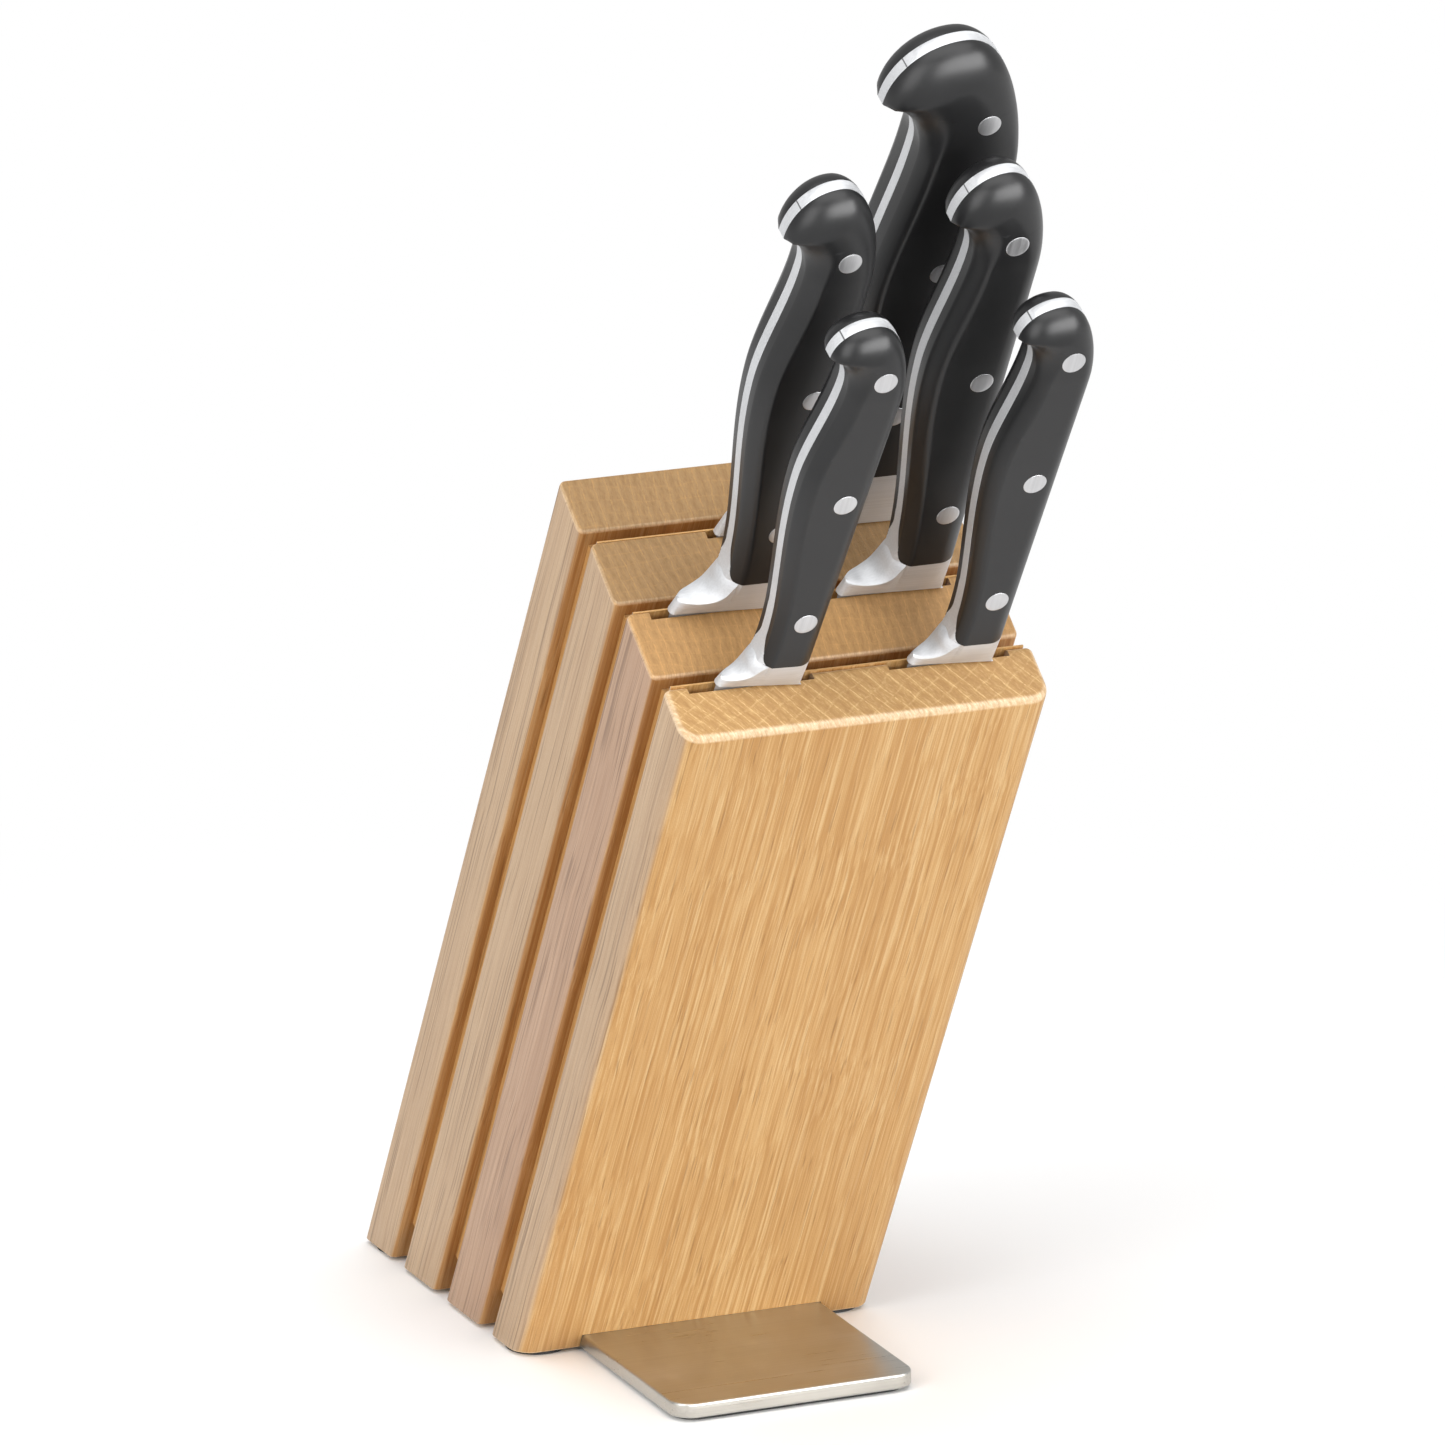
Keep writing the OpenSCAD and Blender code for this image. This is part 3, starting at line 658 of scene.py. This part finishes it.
def blade_parts(k, put):
    """The blade: a flat taper from spine to edge, with a bellied edge that rises to the point."""
    wb, ln = k["bolster"], k["blade"]
    rows = 60
    pts = []
    for i in range(rows):
        s = i / (rows - 1)
        z = 1.0 - s * (ln + 1.0)
        d = -z / ln
        spine = -0.6 - 0.36 * wb * max(0.0, (d - 0.86) / 0.14) ** 2.0
        belly = math.sqrt(max(0.0, 1 - max(0.0, (d - 0.45) / 0.55) ** 2))
        edge = -wb * (0.38 + 0.6 * belly) if d > 0.45 else -wb * 0.98
        edge = min(edge, spine - 0.3)
        t = 0.88 * lerp(1.0, 0.45, s)
        cut = min(1.2, 0.15 * (spine - edge))
        for x, y in ((spine, t), (lerp(spine, edge, 0.5), t * 0.72), (edge + cut, 0.16), (edge, 0.02),
                     (edge + cut, -0.16), (lerp(spine, edge, 0.5), -t * 0.72), (spine, -t)):
            pts.append(put((x, y, z)))
    faces = grid_faces(rows, 7, close=True)
    faces.append(tuple(range(7)))
    faces.append(tuple(range((rows - 1) * 7, rows * 7)))
    return pts, faces


def seam_shadow_part(k, put):
    """A painted seam shadow: a fine dark steel strip across the crown of the tang, a little above the hook.
    """
    z0 = lerp(k["tip_z"], k["top"], 0.62)
    pts = []
    for dz in (-0.12, 0.12):
        z = z0 + dz
        x = left_x(k, z)
        for y in (-TANG, TANG):
            pts.append(put((x - 0.035, y, z + 0.035)))
            pts.append(put((x + 0.3, y, z - 0.3)))
    return pts, [(0, 1, 3, 2), (4, 5, 7, 6), (0, 4, 5, 1), (2, 3, 7, 6), (0, 2, 6, 4), (1, 5, 7, 3)]


def rivet_parts(k, put, spots):
    """Low domed rivet heads on both sides of a handle."""
    parts = []
    r0, seg = RIVET_R, 40
    for side in (-1, 1):
        for x0, z0 in spots:
            pts = []
            rings = [(r0, -1.2), (r0, 0.0), (r0 * 0.985, 0.035), (r0 * 0.9, 0.055), (r0 * 0.5, 0.075)]
            for r, up in rings:
                for i in range(seg):
                    a = 2 * math.pi * i / seg
                    x, z = x0 + r * math.cos(a), z0 + r * math.sin(a)
                    y = half_thickness(k, z) + up
                    pts.append(put((x, side * y, z)))
            pts.append(put((x0, side * (half_thickness(k, z0) + 0.08), z0)))
            faces = grid_faces(len(rings), seg, close=True)
            e = (len(rings) - 1) * seg
            faces += [(e + i, e + (i + 1) % seg, len(pts) - 1) for i in range(seg)]
            faces.append(tuple(range(seg)))
            parts.append((pts, faces))
    return parts


for knife, spec in KNIVES.items():
    k, put, spots = HANDLE[spec[0]], seated(knife), spec[4]
    steel_parts = [tang_parts(k, put), blade_parts(k, put), *guard_parts(k, put)]
    piece(f"{knife}_forging", steel_parts, "forging", knife, "blade_steel", f"{knife}_blade", sharp=32)
    piece(f"{knife}_crown_seam_shadow", [seam_shadow_part(k, put)], "seam", knife, "blade_steel")
    for end, side in (("front", -1), ("rear", 1)):
        piece(f"{knife}_scale_{end}", scale_parts(k, put, side), "black", knife, "handle",
              f"{knife}_{end}_scale", sharp=50)
    piece(f"{knife}_rivet_heads", rivet_parts(k, put, spots), "rivet", knife, "rivet_steel",
          f"{knife}_rivets")


# ---------------------------------------------------------------- boards

def section(y0, t, rf, rb, inset=0.0):
    """Points round a board's cross-section, with rounded corners."""
    w = BOARD_W / 2 - inset
    f, b = max(0.25, rf - inset), max(0.25, rb - inset)
    pts = []
    for cx, cy, r, a0 in ((-w + f, y0 + inset + f, f, 180), (w - f, y0 + inset + f, f, 270),
                          (w - b, y0 + t - inset - b, b, 0), (-w + b, y0 + t - inset - b, b, 90)):
        for i in range(9):
            a = math.radians(a0 + 90 * i / 8)
            pts.append((cx + r * math.cos(a), cy + r * math.sin(a)))
    return pts


def board_parts(name):
    """A board's wood: level at the ground, sloping and eased along its top end."""
    y0, t, rf, rb, pockets = BOARDS[name]
    t_wood = t - (LINING_T if pockets else 0)
    ease = 1.7 if name == "front_board" else 0.9
    rows = []

    def top_z(y):
        return BOARD_LEN - TOP_FALL * (y0 + t - y)

    def ground_z(y):
        return -y * math.tan(LEAN)

    foot = 0.5
    for inset, up in ((foot, 0.0), (foot * 0.3, foot * 0.3), (0, foot)):
        rows.append([leaning((x, y, ground_z(y) + up)) for x, y in section(y0, t_wood, rf, rb, inset)])
    for v in np.linspace(0, 1, 24)[1:-1]:
        rows.append([leaning((x, y, lerp(ground_z(y) + foot, top_z(y) - ease, v)))
                     for x, y in section(y0, t_wood, rf, rb)])
    for a in np.linspace(0, math.pi / 2, 8):
        inset, down = ease * (1 - math.cos(a)), ease * (1 - math.sin(a))
        rows.append([leaning((x, y, top_z(y) - down)) for x, y in section(y0, t_wood, rf, rb, inset)])
    n = len(rows[0])
    pts = [p for row in rows for p in row]
    faces = grid_faces(len(rows), n, close=True)
    faces.append(tuple(range(n)))
    faces.append(tuple(range((len(rows) - 1) * n, len(rows) * n)))
    return [(pts, faces)]


def cutter(name, lo, hi, lean=True):
    """A box to cut with, in the boards' own axes or upright, in mm."""
    pts = [(x, y, z) for x in (lo[0], hi[0]) for y in (lo[1], hi[1]) for z in (lo[2], hi[2])]
    pts = [leaning(p) if lean else tuple(c * MM for c in p) for p in pts]
    me = bpy.data.meshes.new(name)
    faces = [(0, 1, 3, 2), (4, 6, 7, 5), (0, 4, 5, 1), (2, 3, 7, 6), (0, 2, 6, 4), (1, 5, 7, 3)]
    me.from_pydata(pts, [], faces)
    ob = bpy.data.objects.new(name, me)
    bpy.context.scene.collection.objects.link(ob)
    return ob


def cut(ob, tools):
    """Cuts the boxes out of an object for good and removes them."""
    for tool in tools:
        m = ob.modifiers.new("cut", "BOOLEAN")
        m.operation, m.solver, m.object = "DIFFERENCE", "EXACT", tool
    dg = bpy.context.evaluated_depsgraph_get()
    me = bpy.data.meshes.new_from_object(ob.evaluated_get(dg))
    ob.modifiers.clear()
    old = ob.data
    ob.data = me
    bpy.data.meshes.remove(old)
    for tool in tools:
        bpy.data.objects.remove(tool)
    me.polygons.foreach_set("use_smooth", [True] * len(me.polygons))
    me.set_sharp_from_angle(angle=math.radians(35))


for name, board in BOARDS.items():
    ob = piece(f"{name}_oak", board_parts(name), name, "block", "oak", name, sharp=35)
    tools = []
    mid = middle_of(name)
    for a, b, deep in board[4]:
        low, high = (a, mid - POCKET_T / 2, BOARD_LEN - deep), (b, mid + POCKET_T / 2 + 1, BOARD_LEN + 5)
        tools.append(cutter("tool", low, high))
    if name in ("front_board", "second_board"):
        tools.append(cutter("tool", *PLATE_ROOM, lean=False))
    if tools:
        cut(ob, tools)


# ---------------------------------------------------------------- foot plate

def plate_parts():
    """The foot plate with rounded front corners and a softened edge all round."""
    t, bevel = PLATE["t"], PLATE["bevel"]
    w, y0, y1, r, r1 = PLATE["half_w"], PLATE["front"], PLATE["back"], PLATE["corner"], PLATE["rear_corner"]
    ring = []
    for cx, cy, rr, a0 in ((-w + r, y0 + r, r, 180), (w - r, y0 + r, r, 270),
                           (w - r1, y1 - r1, r1, 0), (-w + r1, y1 - r1, r1, 90)):
        for i in range(13):
            a = math.radians(a0 + 90 * i / 12)
            ring.append((cx + rr * math.cos(a), cy + rr * math.sin(a), math.cos(a), math.sin(a)))
    pts = []
    turns = np.linspace(0, math.pi / 2, 5)[1:]
    rows = [(bevel, 0)] + [(bevel * (1 - math.sin(a)), bevel * (1 - math.cos(a))) for a in turns]
    rows += [(i, t - z) for i, z in rows[::-1]]
    for inset, z in rows:
        pts += [((PLATE["x"] + x - nx * inset) * MM, (y - ny * inset) * MM, (PAD_T + z) * MM)
                for x, y, nx, ny in ring]
    n = len(ring)
    faces = grid_faces(len(rows), n, close=True)
    faces.append(tuple(range(n)))
    faces.append(tuple(range((len(rows) - 1) * n, len(rows) * n)))
    return [(pts, faces)]


piece("foot_plate_steel", plate_parts(), "plate", "block", "plate_steel", "foot_plate", sharp=40)

# CAD nodes whose shape is right keep it and get a finished material
FINISHES = {
    "front_lining": "veneer", "second_lining": "veneer", "third_lining": "veneer",
    "front_spacers": "spacer", "middle_spacers": "spacer", "rear_spacers": "spacer",
    "joint_dowels": "beech", "plate_screws": "screw", "plate_pad": "rubber", "foot_pads": "rubber",
}
for node, key in FINISHES.items():
    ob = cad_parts[node]
    ob.data.materials.clear()
    ob.data.materials.append(MATERIALS[key])


# ---------------------------------------------------------------- floor, light and camera

def stage():
    """A pale floor that fades to plain white away from the block."""
    bm = bmesh.new()
    bmesh.ops.create_grid(bm, x_segments=40, y_segments=40, size=3.0)
    me = bpy.data.meshes.new("floor")
    bm.to_mesh(me)
    bm.free()
    floor = bpy.data.objects.new("floor", me)
    bpy.context.scene.collection.objects.link(floor)
    t = Tree("pale_floor")
    where = t.coords()
    n = t.noise(where, 8, 2.0, 0.5)
    t.link(t.mix(n, (0.92, 0.92, 0.92), (0.95, 0.95, 0.95)), t.bsdf.inputs["Base Color"])
    t.bsdf.inputs["Roughness"].default_value = 0.7
    t.bsdf.inputs["Specular IOR Level"].default_value = 0.1
    far = t.add("ShaderNodeVectorMath", operation="LENGTH")
    t.link(where, far.inputs[0])
    glow = t.remap(far.outputs["Value"], 0.1, 0.42, smooth=True)
    white = t.add("ShaderNodeEmission")
    white.inputs["Strength"].default_value = 1.0
    mix = t.add("ShaderNodeMixShader")
    t.link(glow, mix.inputs[0])
    t.link(t.bsdf.outputs[0], mix.inputs[1])
    t.link(white.outputs[0], mix.inputs[2])
    t.link(mix.outputs[0], t.nodes["Material Output"].inputs["Surface"])
    me.materials.append(t.mat)


def area(name, place, aim, size, power, mirrored=True):
    """A soft rectangular light. mirrored says whether steel and plastic may reflect it."""
    d = bpy.data.lights.new(name, "AREA")
    d.shape = "RECTANGLE"
    d.size, d.size_y = size
    d.energy = power
    ob = bpy.data.objects.new(name, d)
    ob.location = place
    ob.rotation_euler = (Vector(aim) - Vector(place)).to_track_quat("-Z", "Y").to_euler()
    ob.visible_glossy = mirrored
    bpy.context.scene.collection.objects.link(ob)
    return ob


stage()

# a soft sky that lights a little more from above, and plain white behind the object
world = bpy.data.worlds.new("studio")
bpy.context.scene.world = world
world.use_nodes = True
wn, wl = world.node_tree.nodes, world.node_tree.links
soft, seen = wn["Background"], wn.new("ShaderNodeBackground")
way, split, rise, ray, pick = (wn.new(f"ShaderNode{k}") for k in
                               ("TexCoord", "SeparateXYZ", "MapRange", "LightPath", "MixShader"))
wl.new(way.outputs["Generated"], split.inputs[0])
wl.new(split.outputs["Z"], rise.inputs["Value"])
for key, v in (("From Min", -0.4), ("From Max", 1.0), ("To Min", 0.42), ("To Max", 0.72)):
    rise.inputs[key].default_value = v
wl.new(rise.outputs["Result"], soft.inputs["Strength"])
soft.inputs["Color"].default_value = (1.0, 1.0, 1.0, 1)
seen.inputs["Strength"].default_value = 1.0
seen.inputs["Color"].default_value = (1.0, 1.0, 1.0, 1)
wl.new(ray.outputs["Is Camera Ray"], pick.inputs[0])
wl.new(soft.outputs[0], pick.inputs[1])
wl.new(seen.outputs[0], pick.inputs[2])
wl.new(pick.outputs[0], wn["World Output"].inputs["Surface"])

area("key_left", (-1.3, -0.6, 0.7), (0, -0.02, 0.15), (0.9, 1.2), 12)
area("top", (-0.1, -0.25, 1.25), (0, -0.05, 0.15), (1.3, 0.8), 8)
area("front", (0.62, -1.35, 0.3), (0, -0.05, 0.15), (1.2, 0.45), 10, mirrored=False)
band = area("band", (0.5, -1.5, 0.85), (0, -0.1, 0.27), (2.8, 1.2), 85)
band.visible_diffuse = False

scene = bpy.context.scene
scene.view_settings.view_transform = "Standard"
scene.view_settings.look = "None"

# A long lens from the left front, a little above the block; lengths in metres.
AZ, EL = math.radians(23.714), math.radians(15.898)
back = Vector((-math.sin(AZ) * math.cos(EL), -math.cos(AZ) * math.cos(EL), math.sin(EL)))
right = Vector((math.cos(AZ), -math.sin(AZ), 0))
target = right * 0.005613 + Vector((0, 0, 0.135018 + PAD_T * MM))
cam_data = bpy.data.cameras.new("camera")
cam = bpy.data.objects.new("camera", cam_data)
scene.collection.objects.link(cam)
cam.location = target + back * 2.515311
up = back.cross(right)
cam.matrix_world = Matrix((
    (right.x, up.x, back.x, cam.location.x), (right.y, up.y, back.y, cam.location.y),
    (right.z, up.z, back.z, cam.location.z), (0, 0, 0, 1)))
cam_data.sensor_width = 36
cam_data.lens = 297.87
cam_data.clip_start, cam_data.clip_end = 0.1, 20
scene.camera = cam
